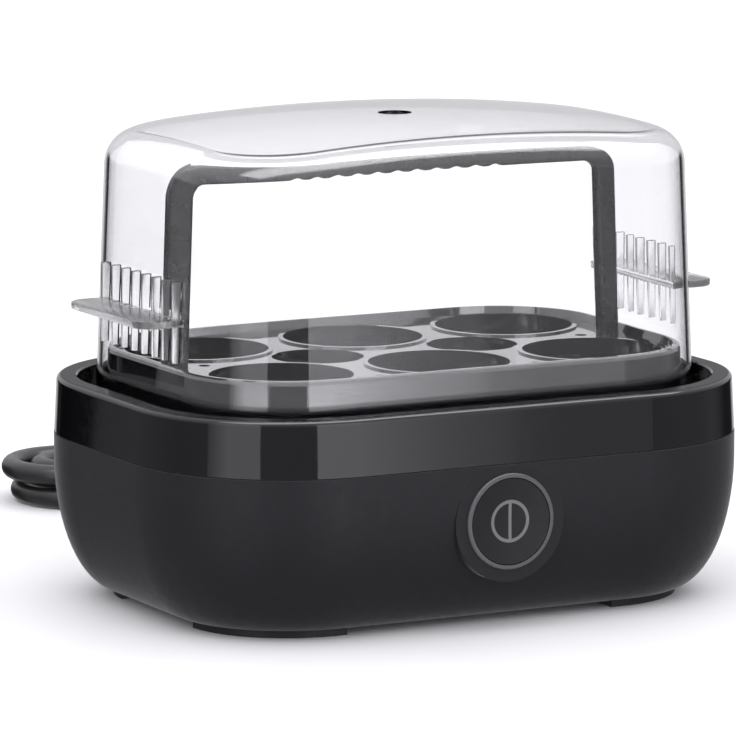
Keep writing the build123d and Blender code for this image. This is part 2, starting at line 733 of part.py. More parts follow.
for side in (-1, 1):
    egg_tray += Pos(side * post_x, 0, TRAY_WEB) * Box(
        12, 9, 8.5, align=(Align.CENTER, Align.CENTER, Align.MAX)
    )
for x, y in egg_spots:
    egg_tray -= Pos(x, y, TRAY_WEB) * Cylinder(EGG_RADIUS, 40)
junction = Circle(JUNCTION_REACH)
for x in (-1, 1):
    for y in (-1, 1):
        junction -= Pos(x * EGG_PITCH_X / 2, y * EGG_PITCH_Y / 2) * Circle(EGG_RADIUS + WEB_WIDTH)
for x in (-EGG_PITCH_X / 2, EGG_PITCH_X / 2):
    egg_tray -= Pos(x, 0, TRAY_WEB - 10) * extrude(junction, 20)
    for y in (DRAIN_Y - BODY_DEPTH / 2, BODY_DEPTH / 2 - DRAIN_Y):
        egg_tray -= Pos(x, y, TRAY_WEB) * Cylinder(DRAIN_RADIUS, 20)
for x in (DRAIN_X - BODY_LENGTH / 2, BODY_LENGTH / 2 - DRAIN_X):
    egg_tray -= Pos(x, 0, TRAY_WEB) * Cylinder(DRAIN_RADIUS, 20)

# Carrying handle, its feet in the tray's sockets
handle_mid = HANDLE_TOP - HANDLE_WIDE / 2
foot_low = TRAY_WEB - 6.0
handle_path = FilletPolyline(
    (-post_x, 0, foot_low),
    (-post_x + POST_LEAN, 0, handle_mid),
    (post_x - POST_LEAN, 0, handle_mid),
    (post_x, 0, foot_low),
    radius=HANDLE_BEND,
)
handle_start = Plane(handle_path @ 0, x_dir=(0, 1, 0), z_dir=handle_path % 0)
tray_handle = sweep(handle_start * RectangleRounded(HANDLE_DEEP, HANDLE_WIDE, 1.0), handle_path)
socket = sweep(
    handle_start * Rectangle(HANDLE_DEEP + 0.2, HANDLE_WIDE + 0.2), handle_path
)
egg_tray -= socket
scallop_z = HANDLE_TOP - HANDLE_WIDE - SCALLOP_RADIUS + SCALLOP_DEPTH
for i in range(SCALLOPS):
    x = (i - (SCALLOPS - 1) / 2) * SCALLOP_PITCH
    tray_handle -= Pos(x, 0, scallop_z) * Rot(90, 0, 0) * Cylinder(SCALLOP_RADIUS, 20)

# Clear hood
hood_lean = HOOD_LEAN / HOOD_LEAN_HEIGHT


def hood_block(inset, low, dome_top, edge_round):
    """The hood's outside or inside as a solid: leaning walls under a dome with a round edge."""
    plan = Pos(0, 0, low) * outline(inset + hood_lean * (low - LEDGE_HEIGHT))
    walls = extrude(plan, HOOD_TOP + 2 - low, taper=math.degrees(math.atan(hood_lean)))
    block = walls & Pos(0, 0, dome_top - HOOD_DOME) * Rot(90, 0, 0) * Sphere(HOOD_DOME)
    crown = [line for line in block.edges() if line.center().Z > dome_top - 10]
    rounded = fillet(crown, edge_round)
    print("hood block", round(block.volume), round(rounded.volume), len(crown))
    return rounded


hood = hood_block(HOOD_INSET, LEDGE_HEIGHT, HOOD_TOP, HOOD_ROUND)
hood -= hood_block(
    HOOD_INSET + HOOD_WALL, LEDGE_HEIGHT - 1, HOOD_TOP - HOOD_WALL, HOOD_ROUND - HOOD_WALL
)
hood -= Pos(0, 0, HOOD_TOP) * Cylinder(VENT_RADIUS, 20)
grip_inner = BODY_LENGTH / 2 - HOOD_INSET - GRIP_ROOT
lug_plan = RectangleRounded(2 * (LUG_REACH + GRIP_ROOT), 2 * LUG_HALF, LUG_ROUND)
lug_plan &= Pos(LUG_REACH, 0) * Rectangle(2 * LUG_REACH, 3 * LUG_HALF)
for side in (0, 180):
    hood += Rot(0, 0, side) * Pos(grip_inner, 0, LUG_HEIGHT - LUG_THICK / 2) * extrude(
        lug_plan, LUG_THICK
    )
    for i in range(GRIP_RIBS):
        y = (i - (GRIP_RIBS - 1) / 2) * GRIP_PITCH
        hood += Rot(0, 0, side) * Pos(grip_inner, y, GRIP_LOW) * Box(
            GRIP_RIB_DEPTH + 0.8,
            GRIP_RIB_THICK,
            GRIP_HIGH - GRIP_LOW,
            align=(Align.MIN, Align.CENTER, Align.MIN),
        )

# Free stretch of the lead, from the sleeve to the folded part
low_z = CORD_RADIUS + REST_GAP
high_z = low_z + LAYER_STEP
entry_y = HANK_Y - FOLD_LEAD
lead_in = [
    (cord_x, relief_end, CORD_HEIGHT),
    (cord_x, 107.0, CORD_HEIGHT),
    (46.4, 119.5, 11.0),
    (45.2, 132.5, 5.2),
    (37.0, 145.5, low_z),
    (22.5, entry_y, low_z),
    (4.0, entry_y, low_z),
]
cord_lead = tube(cord_path(lead_in), CORD_RADIUS)

# Folded part: near run, left fold, far run, right fold, and so on, in and then out again
near = (-1, 0, 0)
far = (1, 0, 0)
stations = [((4.0, entry_y, low_z), near)]


def fold(side, end, leave, arrive, z_from, z_to):
    """A half turn at one end, given its reach from the waist and its half widths."""
    mid = (leave[1] - arrive[1]) / 2
    bend = (leave[1] + arrive[1]) / 2
    x = HANK_X + side * (end - bend)
    y_sign = -1 if side < 0 else 1
    climb = (z_to - z_from) / 2
    apex_turn = (0, -y_sign, climb / bend / 1.2)
    first = near if side < 0 else far
    last = far if side < 0 else near
    stations.append(((x, HANK_Y + y_sign * leave[1], z_from), first))
    apex_x = HANK_X + side * end
    stations.append(((apex_x, HANK_Y + y_sign * mid, z_from + climb), apex_turn))
    stations.append(((x, HANK_Y - y_sign * arrive[1], z_to), last))


def waist(side, half, z):
    heading = near if side < 0 else far
    stations.append(((HANK_X, HANK_Y + side * half, z + TIE_THICK + TIE_GAP), heading))


IN = (WAIST_IN, FOLD_IN)
OUT = (WAIST_OUT, FOLD_OUT)
WIDE = (WAIST_IN, FOLD_WIDE)
ENTRY = (WAIST_OUT, FOLD_LEAD)
fold(-1, LEFT_ENDS[0], ENTRY, OUT, low_z, low_z)
waist(1, WAIST_OUT, low_z)
fold(1, RIGHT_ENDS[0], OUT, WIDE, low_z, low_z)
waist(-1, WAIST_IN, low_z)
fold(-1, LEFT_ENDS[1], IN, IN, low_z, low_z)
waist(1, WAIST_IN, low_z)
fold(1, RIGHT_ENDS[1], IN, IN, low_z, high_z)
waist(-1, WAIST_IN, high_z)
fold(-1, LEFT_ENDS[2], IN, IN, high_z, high_z)
waist(1, WAIST_IN, high_z)
fold(1, RIGHT_ENDS[2], WIDE, OUT, high_z, high_z)
waist(-1, WAIST_OUT, high_z)
fold(-1, LEFT_ENDS[3], OUT, OUT, high_z, high_z)
waist(1, WAIST_OUT, high_z)
exit_y = HANK_Y + FOLD_OUT
stations.append(((31.0, exit_y, high_z), far))
stations.append(((37.5, exit_y, high_z), far))
hank_edges = []
for (p0, t0), (p1, t1) in zip(stations, stations[1:]):
    hank_edges += biarc(p0, t0, p1, t1)
hank_path = Wire(hank_edges)
cord_hank = tube(hank_path, CORD_RADIUS)

# Tie round the waist
tie_deep = 2 * (WAIST_OUT + CORD_RADIUS + TIE_GAP)
tie_high = LAYER_STEP + 2 * (CORD_RADIUS + TIE_GAP)
tie_round = CORD_RADIUS + TIE_GAP
tie_ring = RectangleRounded(
    tie_deep + 2 * TIE_THICK, tie_high + 2 * TIE_THICK, tie_round + TIE_THICK
) - RectangleRounded(tie_deep, tie_high, tie_round)
tie_mid = low_z + LAYER_STEP / 2 + TIE_THICK + TIE_GAP
cord_tie = Pos(HANK_X, HANK_Y, tie_mid) * extrude(
    Plane.YZ * tie_ring, TIE_WIDTH / 2, both=True
)

# Stretch from the folded part to the plug
lead_out = [
    (37.5, exit_y, high_z),
    (48.0, exit_y, high_z),
    (60.5, 187.5, 12.4),
    (69.0, 177.0, 15.6),
    (PLUG_X, 164.0, PLUG_HEIGHT),
    (PLUG_X, PLUG_BACK, PLUG_HEIGHT),
]
cord_tail = tube(cord_path(lead_out), CORD_RADIUS)

# Least gap of the folded part to itself, measured on points along it
steps = 900
samples = [hank_path.position_at(i / steps) for i in range(steps + 1)]
spacing = hank_path.length / steps
apart = int(4 * CORD_RADIUS / spacing)
least = min(
    (samples[i] - samples[j]).length
    for i in range(steps + 1)
    for j in range(i + apart, steps + 1, 2)
)
flat = math.pi * CORD_RADIUS**2
for label, bar, line in (
    ("lead", cord_lead, cord_path(lead_in)),
    ("hank", cord_hank, hank_path),
    ("tail", cord_tail, cord_path(lead_out)),
):
    print(label, "volume", round(bar.volume), "section times length", round(flat * line.length))
print("folded lead length", round(hank_path.length, 1), "least gap", round(least - 2 * CORD_RADIUS, 2))

# Plug
plug_place = Pos(PLUG_X, 0, PLUG_HEIGHT) * Rot(-90, 0, 0)
plug_body = plug_place * revolve(
    make_face(
        Plane.XZ
        * Polyline(
            (0, PLUG_BACK),
            (4.4, PLUG_BACK),
            (6.4, PLUG_BACK - 13),
            (12.5, PLUG_BACK - 17),
            (15.0, PLUG_FACE + 17),
            (PLUG_RADIUS, PLUG_FACE + 13),
            (PLUG_RADIUS, PLUG_FACE + 1),
            (PLUG_RADIUS - 1, PLUG_FACE),
            (0, PLUG_FACE),
            close=True,
        )
    ),
    Axis.Z,
)
for side in (-1, 1):
    plug_body -= Pos(PLUG_X, PLUG_FACE + 4, PLUG_HEIGHT + side * PLUG_RADIUS) * Box(6, 16, 4)
plug_pins = []
for side in (-1, 1):
    pin = Pos(PLUG_X + side * PIN_PITCH / 2, PLUG_FACE, PLUG_HEIGHT) * Rot(90, 0, 0) * Cylinder(
        PIN_RADIUS, PIN_LENGTH, align=(Align.CENTER, Align.CENTER, Align.MIN)
    )
    plug_pins.append(fillet(pin.edges().group_by(Axis.Y)[0], 1.2))

# Screws
base_screws = []
for x, y in screw_spots:
    base_screws.append(Pos(x, y, 3.0) * screw(SCREW_LENGTH, SCREW_RADIUS, SCREW_HEAD))
dish_screws = []
for x, y in clamp_spots:
    dish_screws.append(Pos(x, y, clamp_base) * screw(5.0, 1.25, 2.4))

parts = {
    "base_casing": base_casing,
    "trim_band": trim_band,
    "base_plate": base_plate,
    "heating_dish": heating_dish,
    "dish_seal": dish_seal,
    "dish_clamp": dish_clamp,
    "heating_element": heating_element,
    "element_pin_left": element_pins[0],
    "element_pin_right": element_pins[1],
    "thermostat": thermostat,
    "thermostat_strap": thermostat_strap,
    "thermal_fuse": thermal_fuse,
    "control_board": control_board,
    "push_switch": push_switch,
    "switch_plunger": switch_plunger,
    "relay": relay,
    "capacitor": capacitor,
    "buzzer": buzzer,
    "indicator_lamp": indicator_lamp,
    "light_ring": light_ring,
    "button": button,
    "button_mark": button_mark,
    "button_spring": button_spring,
    "terminal_block": terminal_block,
    "cord_clamp": cord_clamp,
    "inner_sheath": inner_sheath,
    "strain_relief": relief,
    "egg_tray": egg_tray,
    "tray_handle": tray_handle,
    "hood": hood,
    "cord_lead": cord_lead,
    "cord_hank": cord_hank,
    "cord_tail": cord_tail,
    "cord_tie": cord_tie,
    "plug_body": plug_body,
    "plug_pin_left": plug_pins[0],
    "plug_pin_right": plug_pins[1],
    **leads,
    "base_screws": Compound(base_screws),
    "dish_screws": Compound(dish_screws),
    "clamp_screws": Compound(clamp_screws),
}
os.makedirs("parts", exist_ok=True)
for name, shape in parts.items():
    export_step(shape, f"parts/{name}.step")
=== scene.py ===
import json
import math

import bmesh
import bpy
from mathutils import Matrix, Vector

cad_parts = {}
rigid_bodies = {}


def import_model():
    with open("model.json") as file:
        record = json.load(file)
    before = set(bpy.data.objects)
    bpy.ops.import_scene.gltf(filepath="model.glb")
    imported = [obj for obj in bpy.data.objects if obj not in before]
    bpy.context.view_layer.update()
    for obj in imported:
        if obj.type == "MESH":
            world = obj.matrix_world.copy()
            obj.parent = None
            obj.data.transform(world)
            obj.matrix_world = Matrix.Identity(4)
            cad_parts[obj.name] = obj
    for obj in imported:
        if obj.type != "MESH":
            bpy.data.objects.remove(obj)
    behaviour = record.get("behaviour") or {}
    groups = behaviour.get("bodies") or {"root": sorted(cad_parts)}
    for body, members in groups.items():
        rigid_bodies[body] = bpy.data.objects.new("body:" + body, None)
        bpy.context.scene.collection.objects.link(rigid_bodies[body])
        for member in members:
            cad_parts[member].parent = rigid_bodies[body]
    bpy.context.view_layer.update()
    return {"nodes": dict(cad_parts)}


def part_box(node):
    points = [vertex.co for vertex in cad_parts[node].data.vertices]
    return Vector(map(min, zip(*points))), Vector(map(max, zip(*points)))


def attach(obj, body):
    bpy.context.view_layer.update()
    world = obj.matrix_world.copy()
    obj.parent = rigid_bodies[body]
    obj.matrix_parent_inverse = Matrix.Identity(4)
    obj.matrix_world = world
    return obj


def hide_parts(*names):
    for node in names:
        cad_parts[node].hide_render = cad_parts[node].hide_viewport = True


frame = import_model()
nodes = frame["nodes"]
MM = 0.001


def box_mm(name):
    """A node's lowest and highest corners, in millimetres."""
    return [[round(value / MM, 2) for value in corner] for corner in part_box(name)]


def show(name, data):
    """A new object of the data, in the scene."""
    piece = bpy.data.objects.new(name, data)
    bpy.context.scene.collection.objects.link(piece)
    return piece


def mesh_object(name, points, faces, unit=MM):
    mesh = bpy.data.meshes.new(name)
    mesh.from_pydata([Vector(point) * unit for point in points], [], faces)
    mesh.update()
    return show(name, mesh)


# Camera: front left, a little above, with a long lens
TURN = math.radians(27.6)
RISE = math.radians(9.1)
DISTANCE = 1.8
LENS = 309.6
AIM_RIGHT = -0.00755
AIM_HEIGHT = 0.06408
right = Vector((math.cos(TURN), -math.sin(TURN), 0))
back = Vector((-math.sin(TURN) * math.cos(RISE), -math.cos(TURN) * math.cos(RISE), math.sin(RISE)))
aim = right * AIM_RIGHT + Vector((0, 0, AIM_HEIGHT))
camera_data = bpy.data.cameras.new("camera")
camera_data.sensor_width = 36.0
camera_data.lens = LENS
camera_data.clip_start = 0.05
camera_data.clip_end = 60.0
camera = show("camera", camera_data)
camera.location = aim + back * DISTANCE
camera.rotation_mode = "QUATERNION"
camera.rotation_quaternion = (-back).to_track_quat("-Z", "Y")
bpy.context.scene.camera = camera

# Sizes of the clear hood in millimetres, its outermost ones taken from two boxes
casing_high = box_mm("base_casing")[1]
hood_low, hood_high = box_mm("hood")
HALF_LENGTH = casing_high[0]
HALF_DEPTH = casing_high[1]
CORNER = 46.5
FOOT_Z = hood_low[2]
HOOD_INSET = HALF_DEPTH - hood_high[1]
HOOD_LEAN = 2.9 / 69.0
HOOD_WALL = 1.4
DOME = 620.0
VENT = 4.8
HOOD_TOP = round(hood_high[2] + DOME - math.sqrt(DOME**2 - VENT**2), 2)
ROUND_OUT = 10.0
ROUND_IN = ROUND_OUT - HOOD_WALL
GRIP_ROOT = 78.1
LUG_TIP = hood_high[0]
LUG_HALF = 25.0
LUG_LOW = 84.7
LUG_THICK = 2.0
LUG_ROUND = 6.0
LUG_SOFT = 0.35
RIBS = 8
RIB_PITCH = 6.5
RIB_THICK = 1.3
RIB_DEPTH = 3.0
RIB_LOW = 74.5
RIB_HIGH = 97.0
RIB_SOFT = 0.25


# Shader nodes
def feed(tree, socket, value):
    """Link another node's output to the socket, or set a plain value on it."""
    if isinstance(value, bpy.types.NodeSocket):
        tree.links.new(value, socket)
    else:
        socket.default_value = value


def feed_all(tree, node, inputs):
    for name, value in inputs.items():
        feed(tree, node.inputs[name], value)


def add_node(tree, kind, inputs=None, **settings):
    """A shader node with its settings, and its inputs by name or number."""
    node = tree.nodes.new("ShaderNode" + kind)
    for name, value in settings.items():
        setattr(node, name, value)
    feed_all(tree, node, inputs or {})
    return node


def math_node(tree, operation, *values):
    return add_node(tree, "Math", dict(enumerate(values)), operation=operation).outputs["Value"]


def split(tree, vector):
    """The three parts of a vector."""
    return add_node(tree, "SeparateXYZ", {"Vector": vector}).outputs


def facing_up(tree):
    """The upright part of the surface's direction."""
    return split(tree, add_node(tree, "NewGeometry").outputs["Normal"])["Z"]


def noise(tree, place, scale, detail):
    inputs = {"Vector": place, "Scale": scale, "Detail": detail, "Roughness": 0.5}
    return add_node(tree, "TexNoise", inputs).outputs["Fac"]


def spread(tree, value, low, high, start=0.3, end=0.7):
    """A number that goes from low to high while the value goes from start to end."""
    inputs = {"Value": value, "From Min": start, "From Max": end, "To Min": low, "To Max": high}
    return add_node(tree, "MapRange", inputs).outputs["Result"]


def mix(tree, share, first, second):
    """A mix of two colours, each given as numbers or as another node's output."""
    inputs = {"Factor": share, "A": first, "B": second}
    return add_node(tree, "Mix", inputs, data_type="RGBA").outputs["Result"]


def follow(tree, value, stops, start=0.0, end=1.0, interpolation="LINEAR"):
    """A strength that follows the value from start to end, through stops of (value, strength)."""
    share = spread(tree, value, 0.0, 1.0, start, end)
    ramp = add_node(tree, "ValToRGB", {"Fac": share})
    ramp.color_ramp.interpolation = interpolation
    marks = ramp.color_ramp.elements
    while len(marks) < len(stops):
        marks.new(0.5)
    for mark, (at, strength) in zip(marks, stops):
        mark.position = (at - start) / (end - start)
        mark.color = (strength, strength, strength, 1)
    return ramp.outputs["Color"]


# Materials
COLOUR_DETAIL = 4.0
ROUGHNESS_DETAIL = 3.0
GRAIN_DETAIL = 2.0
ROUGHNESS_FINER = 6
GRAIN_HEIGHT = 0.00004
COAT_ROUGHNESS = 0.05
SHEEN_ROUGHNESS = 0.3
LEVEL_FACES = (0.8, 0.98)


def tree_of(name):
    """A new material with its nodes, its shader and the place on the piece."""
    material = bpy.data.materials.new(name)
    material.use_nodes = True
    tree = material.node_tree
    place = add_node(tree, "TexCoord").outputs["Object"]
    return material, tree, tree.nodes["Principled BSDF"], place


def surface(name, dark, light, rough, grain=0.0, grain_scale=3000.0, metal=0.0, variation=60.0,
            specular=0.5, ior=1.5, coat=0.0, sheen=0.0, level_painted_shade_specular=None):
    """Moulded plastic, rubber or metal: colour varies slowly, roughness a little, with a fine grain.

    Where a specular for level faces is given, they have that weaker gloss: a painted shade that darkens
    the tops.
    """
    material, tree, shader, place = tree_of(name)
    slow = noise(tree, place, variation, COLOUR_DETAIL)
    fine = noise(tree, place, variation * ROUGHNESS_FINER, ROUGHNESS_DETAIL)
    if level_painted_shade_specular is not None:
        # Painted shade: level faces reflect less, so their tops come out darker
        specular = spread(tree, facing_up(tree), specular, level_painted_shade_specular, *LEVEL_FACES)
    feed_all(tree, shader, {
        "Base Color": mix(tree, slow, (*dark, 1), (*light, 1)),
        "Roughness": spread(tree, fine, *rough),
        "Metallic": metal,
        "Specular IOR Level": specular,
        "IOR": ior,
        "Coat Weight": coat,
        "Coat Roughness": COAT_ROUGHNESS,
        "Sheen Weight": sheen,
        "Sheen Roughness": SHEEN_ROUGHNESS,
    })
    if grain:
        height = noise(tree, place, grain_scale, GRAIN_DETAIL)
        inputs = {"Height": height, "Strength": grain, "Distance": GRAIN_HEIGHT}
        feed(tree, shader.inputs["Normal"], add_node(tree, "Bump", inputs).outputs["Normal"])
    return material


CLEAR_IOR = 1.47
WALL_TINT = (0.99, 0.99, 0.995, 1)
# Painted shade: the roof, and the walls seen edge on, are coloured greyer
ROOF_PAINTED_SHADE = (0.905, 0.905, 0.91, 1)
EDGE_PAINTED_SHADE = (0.8, 0.8, 0.83, 1)
# Ranges over which the wall tint and the painted shades blend
SEEN_EDGE_ON = (0.88, 0.99)
UPRIGHT_FACES = (0.15, 0.45)
ROOF_FACES = (0.7, 0.95)
HAZE = 0.006
HAZE_SCALE = 35.0
GRIP_ROUGHNESS = 0.2
# Millimetres out from the hood's wall
GRIP_START = 0.4
GRIP_FADE = 0.1


def clear_plastic(name):
    """Clear moulded plastic with painted shade: greyer where seen edge on and across the roof, faintly
    hazy, satin on the grips.
    """
    material, tree, shader, place = tree_of(name)
    turned = add_node(tree, "LayerWeight", {"Blend": 0.5}).outputs["Facing"]
    edge = spread(tree, turned, 0.0, 1.0, *SEEN_EDGE_ON)
    level = math_node(tree, "ABSOLUTE", facing_up(tree))
    wall = spread(tree, level, 1.0, 0.0, *UPRIGHT_FACES)
    roof = spread(tree, level, 0.0, 1.0, *ROOF_FACES)
    face = mix(tree, roof, WALL_TINT, ROOF_PAINTED_SHADE)
    haze = spread(tree, noise(tree, place, HAZE_SCALE, COLOUR_DETAIL), 0.0, HAZE)
    spot = split(tree, place)
    across = math_node(tree, "ABSOLUTE", spot["X"])
    outward = math_node(tree, "MULTIPLY_ADD", spot["Z"], HOOD_LEAN, across)
    start = HALF_LENGTH - HOOD_INSET + HOOD_LEAN * FOOT_Z + GRIP_START
    satin = spread(tree, outward, 0.0, GRIP_ROUGHNESS, (start - GRIP_FADE) * MM, (start + GRIP_FADE) * MM)
    feed_all(tree, shader, {
        # Painted shade in the colour: greyer across the roof and on walls seen edge on
        "Base Color": mix(tree, math_node(tree, "MULTIPLY", edge, wall), face, EDGE_PAINTED_SHADE),
        "Roughness": math_node(tree, "MAXIMUM", haze, satin),
        "Transmission Weight": 1.0,
        "IOR": CLEAR_IOR,
    })
    return material


casing_black = surface("casing_black", (0.0055, 0.0054, 0.0076), (0.0075, 0.0074, 0.0102),
                       (0.46, 0.56), grain=0.35, grain_scale=2600.0, specular=0.3, sheen=0.22)
# Painted shade: the band's level rim top has its gloss turned down, so it reads darker
gloss_black = surface("gloss_black", (0.0022, 0.0021, 0.0027), (0.0032, 0.0031, 0.0038),
                      (0.03, 0.07), grain=0.02, grain_scale=120.0, level_painted_shade_specular=0.012)
tray_black = surface("tray_black", (0.011, 0.011, 0.013), (0.016, 0.016, 0.018),
                     (0.05, 0.1), ior=1.95, coat=1.0)
handle_black = surface("handle_black", (0.009, 0.009, 0.0105), (0.013, 0.013, 0.015),
                       (0.24, 0.34), grain=0.05, grain_scale=900.0)
button_black = surface("button_black", (0.005, 0.0049, 0.0068), (0.007, 0.0069, 0.0094),
                       (0.38, 0.48), grain=0.3, grain_scale=3200.0, specular=0.3)
mark_grey = surface("mark_grey", (0.11, 0.11, 0.115), (0.14, 0.14, 0.145), (0.35, 0.45))
ring_grey = surface("ring_grey", (0.055, 0.055, 0.058), (0.075, 0.075, 0.08), (0.3, 0.4))
clear = clear_plastic("clear_plastic")
cord_black = surface("cord_black", (0.008, 0.008, 0.0085), (0.013, 0.013, 0.014), (0.28, 0.4),
                     grain=0.08, grain_scale=900.0, variation=90.0)
relief_black = surface("relief_black", (0.009, 0.009, 0.0095), (0.013, 0.013, 0.014), (0.4, 0.5),
                       grain=0.2, grain_scale=2200.0)
tie_black = surface("tie_black", (0.02, 0.02, 0.021), (0.03, 0.03, 0.032), (0.5, 0.65),
                    grain=0.4, grain_scale=1800.0)
steel = surface("steel", (0.5, 0.5, 0.51), (0.62, 0.62, 0.63), (0.22, 0.36), metal=1.0,
                grain=0.1, grain_scale=1500.0)
nickel = surface("nickel", (0.55, 0.54, 0.52), (0.66, 0.65, 0.62), (0.16, 0.26), metal=1.0)
dish_metal = surface("dish_metal", (0.34, 0.34, 0.35), (0.44, 0.44, 0.45), (0.3, 0.42), metal=1.0)
silicone = surface("silicone", (0.5, 0.5, 0.49), (0.6, 0.6, 0.59), (0.5, 0.6))
ceramic = surface("ceramic", (0.7, 0.68, 0.62), (0.8, 0.78, 0.72), (0.5, 0.65))
board_green = surface("board_green", (0.01, 0.12, 0.04), (0.015, 0.17, 0.06), (0.3, 0.4))
dark_part = surface("dark_part", (0.02, 0.02, 0.022), (0.035, 0.035, 0.037), (0.4, 0.5))
nylon = surface("nylon", (0.62, 0.62, 0.58), (0.72, 0.72, 0.68), (0.4, 0.5))
lamp_clear = surface("lamp_clear", (0.8, 0.82, 0.8), (0.88, 0.9, 0.88), (0.08, 0.15))
wire_brown = surface("wire_brown", (0.1, 0.035, 0.015), (0.14, 0.05, 0.02), (0.35, 0.45))
wire_green = surface("wire_green", (0.1, 0.3, 0.03), (0.15, 0.4, 0.05), (0.35, 0.45))

looks = {
    "base_casing": casing_black, "base_plate": casing_black, "trim_band": gloss_black,
    "button": button_black, "button_mark": mark_grey, "light_ring": ring_grey,
    "egg_tray": tray_black, "tray_handle": handle_black, "hood": clear,
    "heating_dish": dish_metal, "dish_seal": silicone, "dish_clamp": steel,
    "heating_element": steel, "element_pin_left": steel, "element_pin_right": steel,
    "thermostat": ceramic, "thermostat_strap": steel, "thermal_fuse": ceramic,
    "control_board": board_green, "relay": dark_part, "capacitor": dark_part,
    "buzzer": dark_part, "indicator_lamp": lamp_clear, "push_switch": dark_part,
    "switch_plunger": nylon, "button_spring": steel, "terminal_block": nylon,
    "cord_clamp": nylon, "inner_sheath": cord_black, "lead_live": wire_brown,
    "lead_neutral": wire_brown, "lead_element": wire_brown, "lead_thermostat": wire_brown,
    "lead_earth": wire_green, "base_screws": steel, "dish_screws": steel, "clamp_screws": steel,
    "strain_relief": relief_black, "cord_tie": tie_black, "plug_body": relief_black,
    "plug_pin_left": nickel, "plug_pin_right": nickel,
}
for name, material in looks.items():
    mesh = nodes[name].data
    mesh.materials.clear()
    mesh.materials.append(material)

# Clear hood: a lofted shell joined to two ribbed grips
LONG_STEPS = 20
SHORT_STEPS = 10
CORNER_STEPS = 28
WALL_STEPS = 4
ROUND_STEPS = 16
DOME_STEPS = 14
HEIGHT_PASSES = 6
LUG_STEPS = 8
BEVEL_ANGLE = 0.6
SHARP_ANGLE = math.radians(28)


def outline_spots():
    """Places on the casing's outline with the way out, anticlockwise from the right side's middle."""
    spots = []
    sides = [(0, SHORT_STEPS), (90, LONG_STEPS), (180, SHORT_STEPS), (270, LONG_STEPS)]
    for turn, steps in sides:
        angle = math.radians(turn)
        out = Vector((math.cos(angle), math.sin(angle), 0))
        along = Vector((-out.y, out.x, 0))
        across = turn in (0, 180)
        reach = HALF_LENGTH if across else HALF_DEPTH
        run = (HALF_DEPTH if across else HALF_LENGTH) - CORNER
        for i in range(steps):
            spots.append((out * reach + along * run * (2 * i / steps - 1), out))
        centre = out * (reach - CORNER) + along * run
        for i in range(CORNER_STEPS):
            bend = angle + math.pi / 2 * i / CORNER_STEPS
            way = Vector((math.cos(bend), math.sin(bend), 0))
            spots.append((centre + way * CORNER, way))
    return spots


def shell_profile(spot, way, inset, top, edge_round):
    """One line of the shell from its foot over the round edge to the vent's rim."""
    slope = math.atan(HOOD_LEAN)
    low = top - DOME
    height = top - edge_round
    for _ in range(HEIGHT_PASSES):
        centre_inset = inset + HOOD_LEAN * (height - FOOT_Z) + edge_round / math.cos(slope)
        centre = spot - way * centre_inset
        height = low + math.sqrt((DOME - edge_round) ** 2 - centre.length_squared)
    centre.z = height
    wall_way = way * math.cos(slope) + Vector((0, 0, math.sin(slope)))
    dome_way = (centre - Vector((0, 0, low))).normalized()
    foot = spot - way * inset + Vector((0, 0, FOOT_Z))
    bend = centre + wall_way * edge_round
    line = [foot.lerp(bend, step / WALL_STEPS) for step in range(WALL_STEPS)]
    angle = wall_way.angle(dome_way)
    for i in range(ROUND_STEPS + 1):
        t = i / ROUND_STEPS
        way_here = wall_way * math.sin((1 - t) * angle) + dome_way * math.sin(t * angle)
        line.append(centre + way_here * (edge_round / math.sin(angle)))
    rim = Vector((line[-1].x, line[-1].y, 0))
    hole = rim.normalized() * VENT
    for i in range(1, DOME_STEPS + 1):
        plan = rim.lerp(hole, i / DOME_STEPS)
        plan.z = low + math.sqrt(DOME**2 - plan.length_squared)
        line.append(plan)
    return line


def hood_shell():
    """The closed shell: outside, vent wall, inside and foot."""
    spots = outline_spots()
    points = []
    for spot, way in spots:
        outside = shell_profile(spot, way, HOOD_INSET, HOOD_TOP, ROUND_OUT)
        inside = shell_profile(spot, way, HOOD_INSET + HOOD_WALL, HOOD_TOP - HOOD_WALL, ROUND_IN)
        points += outside + inside[::-1]
    count = len(spots)
    row = len(points) // count
    faces = []
    for i in range(count):
        here = i * row
        there = (i + 1) % count * row
        for j in range(row):
            after = (j + 1) % row
            faces.append((here + j, there + j, there + after, here + after))
    return mesh_object("clear_hood", points, faces)


def slab(name, plan, low, high, soft):
    """A flat piece from its plan, with softened edges."""
    count = len(plan)
    points = [(x, y, low) for x, y in plan] + [(x, y, high) for x, y in plan]
    faces = [tuple(reversed(range(count))), tuple(range(count, 2 * count))]
    for i in range(count):
        j = (i + 1) % count
        faces.append((i, j, count + j, count + i))
    piece = mesh_object(name, points, faces)
    form = bmesh.new()
    form.from_mesh(piece.data)
    edges = [edge for edge in form.edges if edge.calc_face_angle() > BEVEL_ANGLE]
    bmesh.ops.bevel(form, geom=edges, offset=soft * MM, segments=2, affect="EDGES", profile=0.5)
    form.to_mesh(piece.data)
    form.free()
    return piece


def lug_plan(side):
    plan = [(GRIP_ROOT, -LUG_HALF)]
    for end, first in ((-1, -90), (1, 0)):
        for i in range(LUG_STEPS + 1):
            angle = math.radians(first + 90 * i / LUG_STEPS)
            plan.append((
                LUG_TIP - LUG_ROUND + LUG_ROUND * math.cos(angle),
                end * (LUG_HALF - LUG_ROUND) + LUG_ROUND * math.sin(angle),
            ))
    plan.append((GRIP_ROOT, LUG_HALF))
    return [(side * x, side * y) for x, y in plan]


def rib_plan(side, y):
    half = RIB_THICK / 2
    tip = GRIP_ROOT + RIB_DEPTH
    plan = [(GRIP_ROOT, y - half), (tip, y - half), (tip, y + half), (GRIP_ROOT, y + half)]
    return [(side * a, side * b) for a, b in plan]


